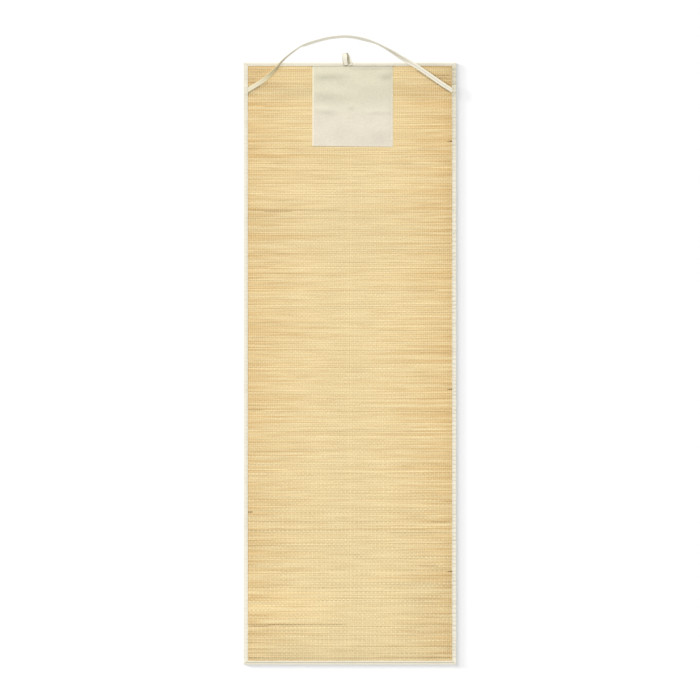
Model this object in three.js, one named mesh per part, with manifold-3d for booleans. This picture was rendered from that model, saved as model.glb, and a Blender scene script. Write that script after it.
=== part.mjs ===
// Straw beach mat: a woven straw panel in a folded cotton binding, with a cloth patch sewn on its face,
// a carrying strap and a fastening loop. Millimetres, +Z up. X runs across the mat and Y along it, with
// the strap at the +Y end. The origin is the middle of the underside, which lies on Z = 0.
import * as THREE from 'three';
import { mergeVertices } from 'three/addons/utils/BufferGeometryUtils.js';
import Module from 'manifold-3d';

const wasm = await Module();
wasm.setup();

// Driving sizes of the mat
const MAT_WIDTH = 600;
const MAT_LENGTH = 1700;
const GAP = 0.3; // kept free between neighbouring pieces

// Straw panel
const PANEL_THICK = 3;
const SHOT_PITCH = 6.2; // from one shot of straws to the next
const GROOVE_DEPTH = 0.5; // between two shots
const CROWN_SHARE = 0.44; // flat top of a shot, as a share of the pitch
const CROWN_UNEVEN = 0.2; // the lowest shots lie this much lower than the highest
const UNEVEN_STEP = 2.4; // radians from one shot's height to the next

// Binding tape, folded round the edges
const TAPE_THICK = 1;
const TAPE_ROUND = 0.6; // outer corners of the fold
const BINDING_TOP = PANEL_THICK + GAP + TAPE_THICK;
const BINDING_RAMP = 9; // length in which the tape rises over what is sewn in under it
const MITRE_CUT = GAP / Math.SQRT2; // leaves one gap between two slanted ends
const LEFT_WIDTH = 12;
const RIGHT_WIDTH = 12;
const TOP_WIDTH = 10;
const BOTTOM_WIDTH = 11;

// Cloth patch
const PATCH_THICK = 1;
const PATCH_LEFT = -106;
const PATCH_RIGHT = 121;
const PATCH_BOTTOM_LEFT = 613.6; // its lower edge hangs a little askew
const PATCH_BOTTOM_RIGHT = 611.8;
const PATCH_TUCK = 5; // width of its top edge that lies under the binding
const PATCH_COLUMNS = 32;
const PATCH_ROWS = 32;
const PATCH_SEWN = 8; // distance from the seams over which the folds die out
// Soft ridges of the patch: middle, half length, half width, turn from X and height
const PATCH_FOLDS = [
  { x: -62, y: 818, long: 48, wide: 13, turn: 0, height: 2.8 },
  { x: -60, y: 764, long: 52, wide: 18, turn: -6, height: 3.6 },
  { x: -70, y: 716, long: 30, wide: 10, turn: -6, height: 2.4 },
  { x: 100, y: 817, long: 20, wide: 13, turn: 12, height: 2.8 },
  { x: 65, y: 788, long: 55, wide: 34, turn: 4, height: 3 },
  { x: 78, y: 711, long: 34, wide: 7, turn: 0, height: 1 },
  { x: 83, y: 658, long: 36, wide: 20, turn: 0, height: 2.2 },
  { x: 4, y: 725, long: 9, wide: 7, turn: 0, height: 1.2 },
  { x: 10, y: 690, long: 90, wide: 55, turn: 0, height: 1 },
];

// Carrying strap
const STRAP_WIDTH = 13;
const STRAP_THICK = 1.5;
const STRAP_STEPS = 3; // sections in each stretch of its route
const ON_PANEL = PANEL_THICK + GAP;
const ON_FLOOR = 0;
// Route from left to right: place, height of the lowest edge, and roll with the outer edge upwards
const STRAP_ROUTE = [
  { x: -291.8, y: 770.2, under: ON_PANEL, roll: 0 },
  { x: -283.8, y: 775, under: ON_PANEL, roll: 0 },
  { x: -263.8, y: 787, under: 3.4, roll: 4 },
  { x: -241.8, y: 801, under: 3.7, roll: 14 },
  { x: -222.4, y: 818.3, under: 4.3, roll: 40 },
  { x: -206.7, y: 834.9, under: 4.9, roll: 68 },
  { x: -191.4, y: 852.5, under: 4.9, roll: 72 },
  { x: -174.5, y: 868.4, under: 2.6, roll: 78 },
  { x: -157.5, y: 881.9, under: 0.6, roll: 79 },
  { x: -140.3, y: 893.9, under: ON_FLOOR, roll: 78 },
  { x: -131.4, y: 897.5, under: ON_FLOOR, roll: 68 },
  { x: -115.6, y: 903.4, under: ON_FLOOR, roll: 61 },
  { x: -89.6, y: 911.2, under: ON_FLOOR, roll: 63 },
  { x: -64.7, y: 917.5, under: ON_FLOOR, roll: 64 },
  { x: -38.9, y: 921.4, under: ON_FLOOR, roll: 66 },
  { x: -11, y: 922.9, under: ON_FLOOR, roll: 65 },
  { x: 16.9, y: 919.9, under: ON_FLOOR, roll: 63 },
  { x: 44.3, y: 913.6, under: ON_FLOOR, roll: 59 },
  { x: 70.7, y: 905.3, under: ON_FLOOR, roll: 75 },
  { x: 95.5, y: 893.1, under: 0.4, roll: 71 },
  { x: 120.5, y: 878.2, under: 2, roll: 58 },
  { x: 146.4, y: 861.5, under: 4.4, roll: 36 },
  { x: 169.5, y: 849, under: 5, roll: 14 },
  { x: 198, y: 831.5, under: 4.8, roll: 8 },
  { x: 231.1, y: 808.7, under: 4.2, roll: 6 },
  { x: 264.2, y: 786, under: 3.5, roll: 2 },
  { x: 283.9, y: 773.8, under: ON_PANEL, roll: 0 },
  { x: 291.9, y: 768.7, under: ON_PANEL, roll: 0 },
];

// Fastening loop
const LOOP_WIDTH = 13.8;
const LOOP_THICK = 1.2;
const LOOP_STEPS = 3;
// Route from the left root over the fold to the right root: place, turn of the tape's width from X, and
// share of the full width
const LOOP_ROUTE = [
  { x: -11.3, y: 841.5, z: 6.6, turn: 0, spread: 0.72 },
  { x: -12.8, y: 847, z: 6.9, turn: 3, spread: 0.9 },
  { x: -14.2, y: 853, z: 8.2, turn: 3, spread: 1 },
  { x: -14.6, y: 860, z: 9.6, turn: 2, spread: 1 },
  { x: -14.6, y: 868, z: 9.7, turn: 0, spread: 0.97 },
  { x: -14.2, y: 873.4, z: 8.4, turn: 0, spread: 0.76 },
  { x: -12.9, y: 875.6, z: 5.7, turn: 4, spread: 0.62 },
  { x: -10.2, y: 873.6, z: 3, turn: 10, spread: 0.76 },
  { x: -7.8, y: 867.5, z: 1.9, turn: 14, spread: 0.9 },
  { x: -5.6, y: 860.5, z: 2.3, turn: 16, spread: 0.93 },
  { x: -3.2, y: 855, z: 4.4, turn: 16, spread: 0.93 },
  { x: -0.5, y: 850.6, z: 6.7, turn: 12, spread: 0.9 },
  { x: 1.2, y: 846, z: 6.9, turn: 6, spread: 0.8 },
  { x: 2.3, y: 841.5, z: 6.6, turn: 0, spread: 0.72 },
];

// What is sewn in under the binding lifts it by its own thickness and one gap
const PATCH_LIFT = PATCH_THICK + GAP;
const STRAP_LIFT = STRAP_THICK + GAP;
const LIFT_MARGIN = 1;
const STRAP_END_LOW = -8; // reach of a strap end along the binding, below and above its last point
const STRAP_END_HIGH = 12;
const LEFT_END = STRAP_ROUTE[0].y;
const RIGHT_END = STRAP_ROUTE[STRAP_ROUTE.length - 1].y;

// One strip for each edge, clockwise from the top, seen from above. Turn is about Z, reach is from the
// origin to the outer edge, and before and after are the widths of the strips that it meets. Lifts are
// measured along the strip, which runs from its first corner to its second.
const BINDING_STRIPS = [
  {
    name: 'binding_top', turn: 0, span: MAT_WIDTH, reach: MAT_LENGTH / 2,
    width: TOP_WIDTH, before: LEFT_WIDTH, after: RIGHT_WIDTH,
    lifts: [{ from: PATCH_LEFT - LIFT_MARGIN, to: PATCH_RIGHT + LIFT_MARGIN, rise: PATCH_LIFT }],
  },
  {
    name: 'binding_right', turn: -90, span: MAT_LENGTH, reach: MAT_WIDTH / 2,
    width: RIGHT_WIDTH, before: TOP_WIDTH, after: BOTTOM_WIDTH,
    lifts: [{ from: -RIGHT_END - STRAP_END_HIGH, to: -RIGHT_END - STRAP_END_LOW, rise: STRAP_LIFT }],
  },
  {
    name: 'binding_bottom', turn: 180, span: MAT_WIDTH, reach: MAT_LENGTH / 2,
    width: BOTTOM_WIDTH, before: RIGHT_WIDTH, after: LEFT_WIDTH,
    lifts: [],
  },
  {
    name: 'binding_left', turn: 90, span: MAT_LENGTH, reach: MAT_WIDTH / 2,
    width: LEFT_WIDTH, before: BOTTOM_WIDTH, after: TOP_WIDTH,
    lifts: [{ from: LEFT_END + STRAP_END_LOW, to: LEFT_END + STRAP_END_HIGH, rise: STRAP_LIFT }],
  },
];

// Finishes
const STRAW = { color: 0xe9d09b, roughness: 0.75, metalness: 0 };
const COTTON_TAPE = { color: 0xf0e8d4, roughness: 0.9, metalness: 0 };
const COTTON_CLOTH = { color: 0xe6dfc8, roughness: 0.95, metalness: 0 };

function namedMesh(name, geometry, finish) {
  geometry.computeVertexNormals();
  const mesh = new THREE.Mesh(geometry, new THREE.MeshStandardMaterial(finish));
  mesh.name = name;
  return mesh;
}

function meshGeometry(points, index) {
  const geometry = new THREE.BufferGeometry().setFromPoints(points);
  geometry.setIndex(index);
  return geometry;
}

// Closed skin through rings of points. Each ring runs anticlockwise, seen from ahead, and outline is
// the plane figure that fills the two ends.
function loft(rings, outline) {
  const count = outline.length;
  const last = (rings.length - 1) * count;
  const index = [];
  for (let ring = 0; ring < last; ring += count) {
    for (let corner = 0; corner < count; corner += 1) {
      const next = (corner + 1) % count;
      const [a, b, c, d] = [ring + corner, ring + next, ring + count + next, ring + count + corner];
      index.push(a, b, c, a, c, d);
    }
  }
  for (const [a, b, c] of THREE.ShapeUtils.triangulateShape(outline, [])) {
    index.push(a, c, b);
    index.push(last + a, last + b, last + c);
  }
  return meshGeometry(rings.flat(), index);
}

function asSolid(geometry) {
  const bare = geometry.clone();
  bare.deleteAttribute('normal');
  bare.deleteAttribute('uv');
  const merged = mergeVertices(bare);
  return new wasm.Manifold(new wasm.Mesh({
    numProp: 3,
    vertProperties: new Float32Array(merged.attributes.position.array),
    triVerts: new Uint32Array(merged.index.array),
  }));
}

function asGeometry(solid) {
  const { vertProperties, triVerts } = solid.getMesh();
  const geometry = new THREE.BufferGeometry();
  geometry.setAttribute('position', new THREE.BufferAttribute(vertProperties, 3));
  geometry.setIndex(new THREE.BufferAttribute(triVerts, 1));
  return geometry;
}

// The panel is one section along Y, with a rounded rib for each shot of straws, drawn out across X.
// Under the binding it is pressed thinner from below.
function strawPanel() {
  const inset = TAPE_THICK + GAP;
  const pressed = TAPE_THICK + GAP;
  const halfWidth = MAT_WIDTH / 2 - inset;
  const halfLength = MAT_LENGTH / 2 - inset;
  const shots = Math.round((2 * halfLength) / SHOT_PITCH);
  const pitch = (2 * halfLength) / shots;
  const groove = PANEL_THICK - GROOVE_DEPTH;

  const section = new THREE.Shape();
  const lowStep = -MAT_LENGTH / 2 + BOTTOM_WIDTH + GAP;
  const highStep = MAT_LENGTH / 2 - TOP_WIDTH - GAP;
  section.moveTo(-halfLength, pressed);
  section.lineTo(lowStep, pressed);
  section.lineTo(lowStep, 0);
  section.lineTo(highStep, 0);
  section.lineTo(highStep, pressed);
  section.lineTo(halfLength, pressed);
  section.lineTo(halfLength, groove);
  for (let shot = 0; shot < shots; shot += 1) {
    const middle = halfLength - (shot + 0.5) * pitch;
    const drop = CROWN_UNEVEN * (0.5 + 0.5 * Math.sin(UNEVEN_STEP * shot));
    section.lineTo(middle + (CROWN_SHARE / 2) * pitch, PANEL_THICK - drop);
    section.lineTo(middle - (CROWN_SHARE / 2) * pitch, PANEL_THICK - drop);
    section.lineTo(middle - pitch / 2, groove);
  }

  const geometry = new THREE.ExtrudeGeometry(section, { depth: 2 * halfWidth, bevelEnabled: false });
  const sectionAlongY = new THREE.Matrix4().makeBasis(
    new THREE.Vector3(0, 1, 0),
    new THREE.Vector3(0, 0, 1),
    new THREE.Vector3(1, 0, 0),
  );
  geometry.applyMatrix4(sectionAlongY);
  geometry.translate(-halfWidth, 0, 0);

  let panel = asSolid(geometry);
  for (const [side, width] of [[-1, LEFT_WIDTH], [1, RIGHT_WIDTH]]) {
    const rim = width + GAP;
    const press = new THREE.BoxGeometry(2 * rim, 2 * MAT_LENGTH, 2 * pressed);
    press.translate(side * (MAT_WIDTH / 2), 0, 0);
    panel = panel.subtract(asSolid(press));
  }
  return namedMesh('straw_panel', asGeometry(panel), STRAW);
}

// Folded tape in section: y runs out to the edge, z up, and rise lifts the upper leg
function bindingOutline(width, rise) {
  const top = BINDING_TOP + rise;
  return [
    new THREE.Vector2(-width, 0),
    new THREE.Vector2(-TAPE_ROUND, 0),
    new THREE.Vector2(0, TAPE_ROUND),
    new THREE.Vector2(0, top - TAPE_ROUND),
    new THREE.Vector2(-TAPE_ROUND, top),
    new THREE.Vector2(-width, top),
    new THREE.Vector2(-width, top - TAPE_THICK),
    new THREE.Vector2(-TAPE_THICK, top - TAPE_THICK),
    new THREE.Vector2(-TAPE_THICK, TAPE_THICK),
    new THREE.Vector2(-width, TAPE_THICK),
  ];
}

// One strip of binding, mitred at both corners
function bindingStrip({ name, turn, span, reach, width, before, after, lifts }) {
  const firstCorner = (point) => -span / 2 + MITRE_CUT - (point.x * before) / width;
  const secondCorner = (point) => span / 2 - MITRE_CUT + (point.x * after) / width;
  const stations = [{ at: firstCorner, rise: 0 }];
  for (const { from, to, rise } of lifts) {
    stations.push({ at: () => from - BINDING_RAMP, rise: 0 });
    stations.push({ at: () => from, rise });
    stations.push({ at: () => to, rise });
    stations.push({ at: () => to + BINDING_RAMP, rise: 0 });
  }
  stations.push({ at: secondCorner, rise: 0 });

  const rings = stations.map(({ at, rise }) => (
    bindingOutline(width, rise).map((point) => new THREE.Vector3(at(point), point.x, point.y))
  ));
  const strip = namedMesh(name, loft(rings, bindingOutline(width, 0)), COTTON_TAPE);
  const angle = THREE.MathUtils.degToRad(turn);
  strip.rotation.z = angle;
  strip.position.set(-Math.sin(angle) * reach, Math.cos(angle) * reach, 0);
  return strip;
}

// Height of the patch's folds at a place on the mat, dying out towards its seams
function patchRise(x, y, seamDistance) {
  let rise = 0;
  for (const fold of PATCH_FOLDS) {
    const angle = THREE.MathUtils.degToRad(fold.turn);
    const along = ((x - fold.x) * Math.cos(angle) + (y - fold.y) * Math.sin(angle)) / fold.long;
    const across = ((y - fold.y) * Math.cos(angle) - (x - fold.x) * Math.sin(angle)) / fold.wide;
    rise += fold.height * Math.exp(-along * along - across * across);
  }
  return rise * THREE.MathUtils.smoothstep(seamDistance, 0, PATCH_SEWN);
}

function clothPatch() {
  const inner = MAT_LENGTH / 2 - TOP_WIDTH;
  const top = inner + PATCH_TUCK;
  const points = [];
  for (const thick of [0, PATCH_THICK]) {
    for (let row = 0; row <= PATCH_ROWS; row += 1) {
      for (let column = 0; column <= PATCH_COLUMNS; column += 1) {
        const across = column / PATCH_COLUMNS;
        const x = THREE.MathUtils.lerp(PATCH_LEFT, PATCH_RIGHT, across);
        const bottom = THREE.MathUtils.lerp(PATCH_BOTTOM_LEFT, PATCH_BOTTOM_RIGHT, across);
        const y = THREE.MathUtils.lerp(bottom, top, row / PATCH_ROWS);
        const seam = Math.min(x - PATCH_LEFT, PATCH_RIGHT - x, y - bottom, inner - y);
        points.push(new THREE.Vector3(x, y, ON_PANEL + thick + patchRise(x, y, seam)));
      }
    }
  }

  const rowLength = PATCH_COLUMNS + 1;
  const layer = rowLength * (PATCH_ROWS + 1);
  const index = [];
  const addQuad = (a, b, c, d) => index.push(a, b, c, a, c, d);
  for (let row = 0; row < PATCH_ROWS; row += 1) {
    for (let column = 0; column < PATCH_COLUMNS; column += 1) {
      const corner = row * rowLength + column;
      const above = corner + rowLength;
      addQuad(corner, above, above + 1, corner + 1);
      addQuad(layer + corner, layer + corner + 1, layer + above + 1, layer + above);
    }
  }
  const lastRow = PATCH_ROWS * rowLength;
  for (let column = 0; column < PATCH_COLUMNS; column += 1) {
    const far = lastRow + column;
    addQuad(column, column + 1, layer + column + 1, layer + column);
    addQuad(far + 1, far, layer + far, layer + far + 1);
  }
  for (let row = 0; row < PATCH_ROWS; row += 1) {
    const near = row * rowLength;
    const far = near + PATCH_COLUMNS;
    addQuad(near + rowLength, near, layer + near, layer + near + rowLength);
    addQuad(far, far + rowLength, layer + far + rowLength, layer + far);
  }
  return namedMesh('cloth_patch', meshGeometry(points, index), COTTON_CLOTH);
}

// Section of a flat tape with rounded edges
function tapeOutline(width, thick) {
  const side = width / 2;
  const face = thick / 2;
  const round = thick / 3;
  return [
    new THREE.Vector2(-side + round, -face),
    new THREE.Vector2(side - round, -face),
    new THREE.Vector2(side, -face + round),
    new THREE.Vector2(side, face - round),
    new THREE.Vector2(side - round, face),
    new THREE.Vector2(-side + round, face),
    new THREE.Vector2(-side, face - round),
    new THREE.Vector2(-side, -face + round),
  ];
}

// A tape along a smooth route. acrossAt gives the direction of its width from its heading and from the
// angle that the route has there, in radians. Spreads are shares of the full width.
function tape(places, angles, spreads, steps, outline, acrossAt) {
  const route = new THREE.CatmullRomCurve3(places);
  const lean = new THREE.CatmullRomCurve3(angles.map((angle) => new THREE.Vector3(angle, 0, 0)));
  const reach = new THREE.CatmullRomCurve3(spreads.map((spread) => new THREE.Vector3(spread, 0, 0)));
  const sections = (places.length - 1) * steps;
  const rings = [];
  for (let section = 0; section <= sections; section += 1) {
    const share = section / sections;
    const centre = route.getPoint(share);
    const heading = route.getTangent(share);
    const across = acrossAt(heading, THREE.MathUtils.degToRad(lean.getPoint(share).x));
    across.addScaledVector(heading, -across.dot(heading)).normalize();
    const up = heading.clone().cross(across);
    const spread = reach.getPoint(share).x;
    rings.push(outline.map((point) => (
      centre.clone().addScaledVector(across, spread * point.x).addScaledVector(up, point.y)
    )));
  }
  return loft(rings, outline);
}

function carryStrap() {
  const places = STRAP_ROUTE.map(({ x, y, under, roll }) => {
    const angle = THREE.MathUtils.degToRad(roll);
    const half = (STRAP_WIDTH / 2) * Math.sin(angle) + (STRAP_THICK / 2) * Math.cos(angle);
    return new THREE.Vector3(x, y, under + half);
  });
  const acrossAt = (heading, angle) => {
    const outward = new THREE.Vector3(-heading.y, heading.x, 0).normalize();
    const upward = heading.clone().cross(outward);
    return outward.multiplyScalar(Math.cos(angle)).addScaledVector(upward, Math.sin(angle));
  };
  const rolls = STRAP_ROUTE.map(({ roll }) => roll);
  const spreads = STRAP_ROUTE.map(() => 1);
  const outline = tapeOutline(STRAP_WIDTH, STRAP_THICK);
  const strap = tape(places, rolls, spreads, STRAP_STEPS, outline, acrossAt);
  return namedMesh('carry_strap', strap, COTTON_TAPE);
}

function fasteningLoop() {
  const places = LOOP_ROUTE.map(({ x, y, z }) => new THREE.Vector3(x, y, z));
  const acrossAt = (heading, angle) => new THREE.Vector3(Math.cos(angle), Math.sin(angle), 0);
  const turns = LOOP_ROUTE.map(({ turn }) => turn);
  const spreads = LOOP_ROUTE.map(({ spread }) => spread);
  const outline = tapeOutline(LOOP_WIDTH, LOOP_THICK);
  const loop = tape(places, turns, spreads, LOOP_STEPS, outline, acrossAt);
  return namedMesh('fastening_loop', loop, COTTON_TAPE);
}

const beachMat = new THREE.Group();
beachMat.add(strawPanel());
for (const strip of BINDING_STRIPS) {
  beachMat.add(bindingStrip(strip));
}
beachMat.add(clothPatch());
beachMat.add(carryStrap());
beachMat.add(fasteningLoop());

export default beachMat;
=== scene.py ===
"""Straw beach mat: woven panel, folded binding, sewn patch, carrying strap and fastening loop."""
import math
from dataclasses import dataclass

import bpy
import numpy as np
from bpy.props import FloatProperty, FloatVectorProperty, IntProperty, PointerProperty
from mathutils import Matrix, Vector


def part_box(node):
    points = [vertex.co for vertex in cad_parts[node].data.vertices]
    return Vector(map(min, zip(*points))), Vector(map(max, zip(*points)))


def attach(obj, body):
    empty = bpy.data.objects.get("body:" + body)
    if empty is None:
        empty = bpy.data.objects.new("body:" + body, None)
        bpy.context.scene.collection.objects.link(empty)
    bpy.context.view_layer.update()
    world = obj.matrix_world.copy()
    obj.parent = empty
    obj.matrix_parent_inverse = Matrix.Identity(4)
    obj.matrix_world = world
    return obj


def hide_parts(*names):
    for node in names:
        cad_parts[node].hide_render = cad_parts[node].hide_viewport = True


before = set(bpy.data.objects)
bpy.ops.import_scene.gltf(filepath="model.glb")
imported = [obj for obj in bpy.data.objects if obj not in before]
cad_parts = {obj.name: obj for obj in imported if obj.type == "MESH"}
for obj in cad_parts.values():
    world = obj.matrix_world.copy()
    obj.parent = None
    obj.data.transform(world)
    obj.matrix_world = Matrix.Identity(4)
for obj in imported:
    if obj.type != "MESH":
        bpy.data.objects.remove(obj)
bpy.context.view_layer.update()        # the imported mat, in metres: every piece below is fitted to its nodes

bl_info = {
    "name": "Straw Beach Mat",
    "version": (1, 0, 0),
    "blender": (4, 5, 0),
    "location": "View3D > Sidebar > Beach Mat",
    "description": "Weaves and sews a straw beach mat around its construction model",
    "category": "Mesh",
}

BODY = "root"
MM = 0.001

# Edges of the mat, taken from the construction model
PANEL_LOW, PANEL_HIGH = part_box("straw_panel")
PATCH_LOW, PATCH_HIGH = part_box("cloth_patch")
LEFT_OUTER, LEFT_INNER = (corner[0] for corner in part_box("binding_left"))
RIGHT_INNER, RIGHT_OUTER = (corner[0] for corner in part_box("binding_right"))
TOP_INNER, TOP_OUTER = (corner[1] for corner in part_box("binding_top"))
BOTTOM_OUTER, BOTTOM_INNER = (corner[1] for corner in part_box("binding_bottom"))
PANEL_TOP = PANEL_HIGH[2]

# Strap route from left to right, in metres: place, height of its lowest edge, and roll in degrees
STRAP_ROUTE = (
    (-0.2918, 0.7702, 0.0033, 0),
    (-0.2838, 0.7750, 0.0033, 0),
    (-0.2638, 0.7870, 0.0034, 4),
    (-0.2418, 0.8010, 0.0037, 14),
    (-0.2224, 0.8183, 0.0043, 40),
    (-0.2067, 0.8349, 0.0049, 68),
    (-0.1914, 0.8525, 0.0049, 72),
    (-0.1745, 0.8684, 0.0026, 78),
    (-0.1575, 0.8819, 0.0006, 79),
    (-0.1403, 0.8939, 0.0, 78),
    (-0.1314, 0.8975, 0.0, 68),
    (-0.1156, 0.9034, 0.0, 61),
    (-0.0896, 0.9112, 0.0, 63),
    (-0.0647, 0.9175, 0.0, 64),
    (-0.0389, 0.9214, 0.0, 66),
    (-0.0110, 0.9229, 0.0, 65),
    (0.0169, 0.9199, 0.0, 63),
    (0.0443, 0.9136, 0.0, 59),
    (0.0707, 0.9053, 0.0, 75),
    (0.0955, 0.8931, 0.0004, 71),
    (0.1205, 0.8782, 0.0020, 58),
    (0.1464, 0.8615, 0.0044, 36),
    (0.1695, 0.8490, 0.0050, 14),
    (0.1980, 0.8315, 0.0048, 8),
    (0.2311, 0.8087, 0.0042, 6),
    (0.2642, 0.7860, 0.0035, 2),
    (0.2839, 0.7738, 0.0033, 0),
    (0.2919, 0.7687, 0.0033, 0),
)

# Loop route from its left root over the fold to its right root: place, turn of its width in degrees,
# and share of its full width
LOOP_ROUTE = (
    (-0.0113, 0.8415, 0.0066, 0, 0.72),
    (-0.0128, 0.8470, 0.0069, 3, 0.90),
    (-0.0142, 0.8530, 0.0082, 3, 1.00),
    (-0.0146, 0.8600, 0.0096, 2, 1.00),
    (-0.0146, 0.8680, 0.0097, 0, 0.97),
    (-0.0142, 0.8734, 0.0084, 0, 0.76),
    (-0.0129, 0.8756, 0.0057, 4, 0.62),
    (-0.0102, 0.8736, 0.0030, 10, 0.76),
    (-0.0078, 0.8675, 0.0019, 14, 0.90),
    (-0.0056, 0.8605, 0.0023, 16, 0.93),
    (-0.0032, 0.8550, 0.0044, 16, 0.93),
    (-0.0005, 0.8506, 0.0067, 12, 0.90),
    (0.0012, 0.8460, 0.0069, 6, 0.80),
    (0.0023, 0.8415, 0.0066, 0, 0.72),
)

# Straws that stand out: height on the mat, from and to across it, and tone, where less is darker
ODD_STRAWS = (
    (-0.735, -0.286, -0.010, -1.8),
    (-0.741, -0.190, 0.120, -2.0),
    (0.431, -0.287, -0.030, -2.6),
    (-0.420, -0.293, -0.276, -9.0),
    (-0.073, 0.284, 0.293, -9.0),
    (-0.586, 0.280, 0.293, -9.0),
    (0.627, 0.280, 0.293, -10.0),
    (-0.831, -0.288, 0.288, -2.8),
    (0.205, -0.120, 0.250, -2.0),
    (-0.250, -0.286, -0.090, -2.4),
    (0.585, 0.150, 0.287, -2.0),
    (0.812, 0.235, 0.287, -2.6),
    (0.806, 0.245, 0.287, -2.2),
    (0.796, 0.255, 0.288, -2.4),
    (0.787, 0.265, 0.288, -2.0),
    (0.823, -0.287, -0.235, -2.2),
    (0.805, -0.288, -0.262, -2.6),
    (0.795, -0.288, -0.268, -2.4),
    (0.429, -0.245, -0.160, -2.2),
    (0.029, 0.190, 0.287, -2.5),
    (-0.132, -0.288, -0.245, -2.7),
    (-0.448, 0.232, 0.287, -2.7),
    (-0.478, 0.110, 0.287, -2.6),
    (-0.573, 0.190, 0.240, -2.6),
    (-0.740, -0.288, -0.215, -2.2),
    (-0.742, -0.288, -0.222, -2.8),
    (0.732, 0.225, 0.287, 2.6),
    (0.726, -0.288, -0.240, 2.6),
    (0.554, 0.230, 0.287, 2.8),
    (0.478, -0.288, -0.240, 2.8),
    (0.450, -0.288, -0.240, 2.4),
    (0.131, 0.180, 0.287, 2.8),
    (-0.188, 0.180, 0.287, 2.6),
    (-0.457, -0.288, -0.240, 2.6),
    (-0.457, 0.190, 0.287, 2.8),
    (-0.587, -0.288, -0.200, 2.6),
)

# Gaps between two shots with more painted shade: height on the mat, from and to across it, and darkness
ODD_GAPS = (
    (-0.737, -0.222, -0.005, 3.6),
    (0.433, -0.150, -0.020, 1.2),
)

# Bands of lighter or darker straws: height on the mat, half width, start and full place across it, amount
STRAW_BANDS = (
    (0.772, 0.024, -1.00, -0.90, -0.085),
    (0.815, 0.020, 0.12, 0.20, -0.055),
    (0.815, 0.020, -0.21, -0.26, -0.060),
    (0.370, 0.080, -1.00, -0.90, -0.030),
    (-0.680, 0.050, 0.05, -0.15, 0.065),
    (-0.700, 0.110, 0.10, 0.20, -0.045),
)

# Painted shadow of the strap on the straws beside it: middle x and y, turn in degrees, half length, distance,
# half width and amount
STRAP_SHADES = (
    (0.240, 0.803, -33.3, 0.066, -0.0083, 0.0030, 0.30),
    (0.231, 0.809, -33.3, 0.075, 0.0088, 0.0030, 0.22),
    (-0.264, 0.787, 31.6, 0.035, -0.0115, 0.0060, 0.11),
    (-0.279, 0.778, 31.6, 0.026, -0.0082, 0.0026, 0.30),
    (-0.212, 0.830, 47.0, 0.016, -0.0042, 0.0028, 0.34),
)

# Sideways drift of the warps: turns for each metre across and along the mat, phase and reach
WARP_WAVES = (
    (0, 1.49, 0.4, 0.0016),
    (0, 3.45, 2.1, 0.0007),
    (9.3, 0.6, 1.0, 0.0010),
    (23.0, -0.9, 4.0, 0.0005),
)

# Soft ridges of the patch: middle x and y, half length, half width, turn in degrees, and height
PATCH_FOLDS = (
    (-0.062, 0.818, 0.048, 0.013, 0, 0.0028),
    (-0.060, 0.764, 0.052, 0.018, -6, 0.0036),
    (-0.070, 0.716, 0.030, 0.010, -6, 0.0024),
    (0.100, 0.817, 0.020, 0.013, 12, 0.0028),
    (0.065, 0.788, 0.055, 0.034, 4, 0.0030),
    (0.078, 0.711, 0.034, 0.007, 0, 0.0010),
    (0.083, 0.658, 0.036, 0.020, 0, 0.0022),
    (0.004, 0.725, 0.009, 0.007, 0, 0.0012),
    (0.010, 0.690, 0.090, 0.055, 0, 0.0010),
)

# Soft spots of painted shade on the patch, most of them on the lower, shaded flanks of its folds: middle x
# and y, half length, half width, and amount
PATCH_SHADE_SPOTS = (
    (0.100, 0.812, 0.017, 0.013, 0.34),
    (-0.066, 0.806, 0.042, 0.010, 0.18),
    (-0.066, 0.748, 0.040, 0.014, 0.14),
    (0.090, 0.640, 0.036, 0.032, 0.16),
    (0.020, 0.622, 0.100, 0.016, 0.14),
    (0.040, 0.748, 0.060, 0.026, 0.07),
    (0.118, 0.725, 0.012, 0.100, 0.22),
    (0.003, 0.722, 0.010, 0.009, 0.12),
)

# Lights of the floor alone: strength, and heading, height and softness in degrees
FLOOR_LIGHTS = (
    (6.7, 158, 6.5, 5),
    (1.7, 158, 13, 9),
    (2.58, 135, 17, 16),
    (0.6, 170, 32, 20),
    (2.13, 158, 88, 2),
)

# Painted shade and painted light on the binding tapes, the shadow at the loop's root among them: place along
# the tape, reach, depth where it starts and is full, and amount, below zero for painted light
BINDING_MARKS = {
    "top": (
        (-0.0115, 0.007, 0.0055, 0.0085, 1.5),
        (0.21, 0.075, 0, 0.002, 0.5),
        (0, 1, -0.001, 0, 0.12),
        (-0.16, 0.13, 0.005, 0.008, -0.4),
    ),
    "right": (
        (0, 2, 0.004, 0.002, -0.2),
        (-0.81, 0.045, -0.001, 0, 0.75),
        (-0.68, 0.09, -0.001, 0, 0.3),
    ),
    "bottom": (
        (0, 1, 0.006, 0.005, 0.35),
        (0, 1, 0.0034, 0.0016, -0.9),
    ),
    "left": (
        (0.80, 0.12, 0.006, 0.002, 0.4),
        (-0.75, 0.25, 0.002, 0.004, -0.35),
    ),
}

# Sewing of the binding tapes: place of the seam as a share of the width, the darkness of the painted shade in
# it, and how hard straw ends press into the tape, as dents with painted shade, at the start of the strip and
# further on
BINDING_SEWING = {
    "top": (0.78, 0.35, 0, 0),
    "right": (0.80, 0.35, 1.7, 1.7),
    "bottom": (0.56, 1.9, 0, 0),
    "left": (0.80, 0.35, 1.2, 0.6),
}

HEM_SEAM = 2.5 * MM  # from the patch's edge to its stitches
STITCH_SHARE = 0.72  # of the pitch, the rest is the gap between two stitches
RIM = 0.3 * MM  # small step at the binding's inner edge, where the panel's underside rises
UP = np.array([0.0, 0.0, 1.0])


def size_setting(name, description, default, least=0.1 * MM):
    """A length that a user may change."""
    return FloatProperty(
        name=name, description=description, default=default, min=least, subtype="DISTANCE", unit="LENGTH")


def colour_setting(name, description, default):
    """A colour that a user may change."""
    return FloatVectorProperty(
        name=name, description=description, default=default, min=0, max=1, subtype="COLOR")


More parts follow.
